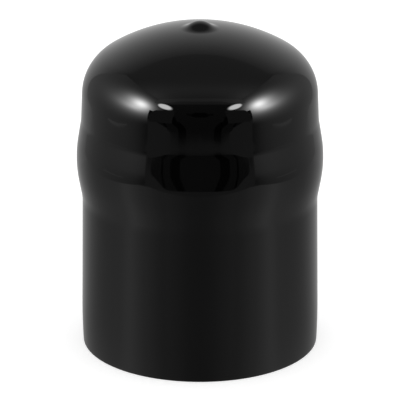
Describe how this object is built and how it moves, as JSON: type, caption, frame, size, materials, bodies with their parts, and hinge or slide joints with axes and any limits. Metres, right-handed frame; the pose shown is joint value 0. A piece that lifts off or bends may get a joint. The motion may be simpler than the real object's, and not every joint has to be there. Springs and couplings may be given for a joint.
{
  "type": "hitch ball cover",
  "caption": "Thin-walled domed cover with a bulged pocket, a plain round skirt open below and a small drip nub on the crown, pushed down over a tow ball.",
  "frame": {"origin": "centre of the open rim, in the plane that the rim stands on", "axes": "+Z along the cover's axis, from the open rim up through the drip nub on the crown"},
  "size_m": [0.0628, 0.0628, 0.0855],
  "materials": {
    "vinyl": "smooth high gloss, dip-moulded"
  },
  "bodies": {
    "root": {"ball_cover": "vinyl"}
  },
  "joints": []
}
